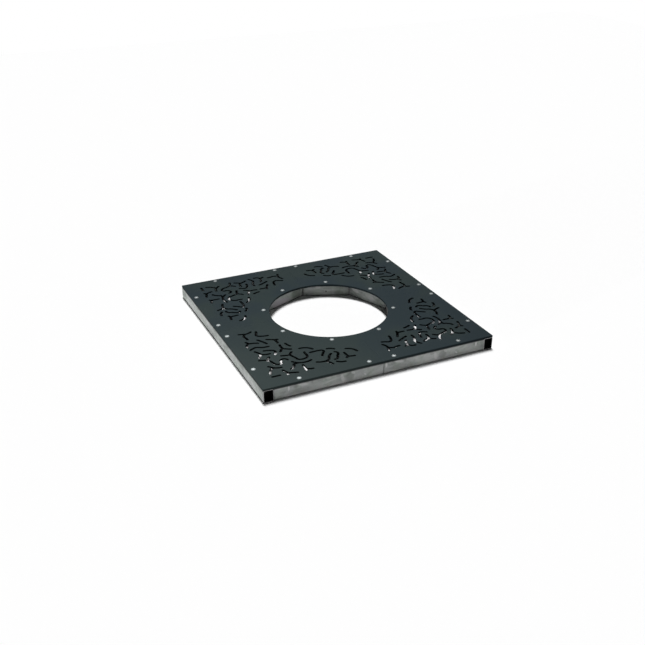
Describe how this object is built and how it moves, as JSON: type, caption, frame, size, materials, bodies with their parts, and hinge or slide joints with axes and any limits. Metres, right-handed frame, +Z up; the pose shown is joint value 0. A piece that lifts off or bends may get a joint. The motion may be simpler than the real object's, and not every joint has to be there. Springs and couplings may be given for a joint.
{
  "type": "steel tree grate",
  "caption": "Square steel tree grate: laser-cut quarter plates with drainage slots, screwed to a galvanised tube frame round a trunk opening.",
  "frame": {"origin": "on the ground under the middle of the trunk opening", "axes": "+Z up, +X to the right along the front side, -Y towards the viewer"},
  "size_m": [1, 1.004, 0.063],
  "materials": {
    "plate_paint": "matt anthracite coating on steel plate",
    "zinc_steel": "hot-dip galvanised, patchy grey",
    "stainless_steel": "satin",
    "black_plastic": "moulded, matt"
  },
  "bodies": {
    "root": {"plate_front_left": "plate_paint", "plate_front_right": "plate_paint", "plate_back_right": "plate_paint", "plate_back_left": "plate_paint", "side_tube_left": "zinc_steel", "side_tube_right": "zinc_steel", "front_tube_left": "zinc_steel", "front_tube_right": "zinc_steel", "back_tube_left": "zinc_steel", "back_tube_right": "zinc_steel", "split_arm_front_left": "zinc_steel", "split_arm_front_right": "zinc_steel", "split_arm_back_left": "zinc_steel", "split_arm_back_right": "zinc_steel", "middle_arm_left": "zinc_steel", "middle_arm_right": "zinc_steel", "ring_tube_1": "zinc_steel", "ring_tube_2": "zinc_steel", "ring_tube_3": "zinc_steel", "ring_tube_4": "zinc_steel", "ring_tube_5": "zinc_steel", "ring_tube_6": "zinc_steel", "ring_tube_7": "zinc_steel", "ring_tube_8": "zinc_steel", "end_cap_front_left": "black_plastic", "end_cap_front_right": "black_plastic", "end_cap_back_left": "black_plastic", "end_cap_back_right": "black_plastic", "plate_screws": "stainless_steel", "screw_inserts": "stainless_steel", "joining_bolts": "stainless_steel", "joining_nuts": "stainless_steel", "joining_washers": "stainless_steel", "joining_spacers": "stainless_steel"}
  },
  "joints": []
}
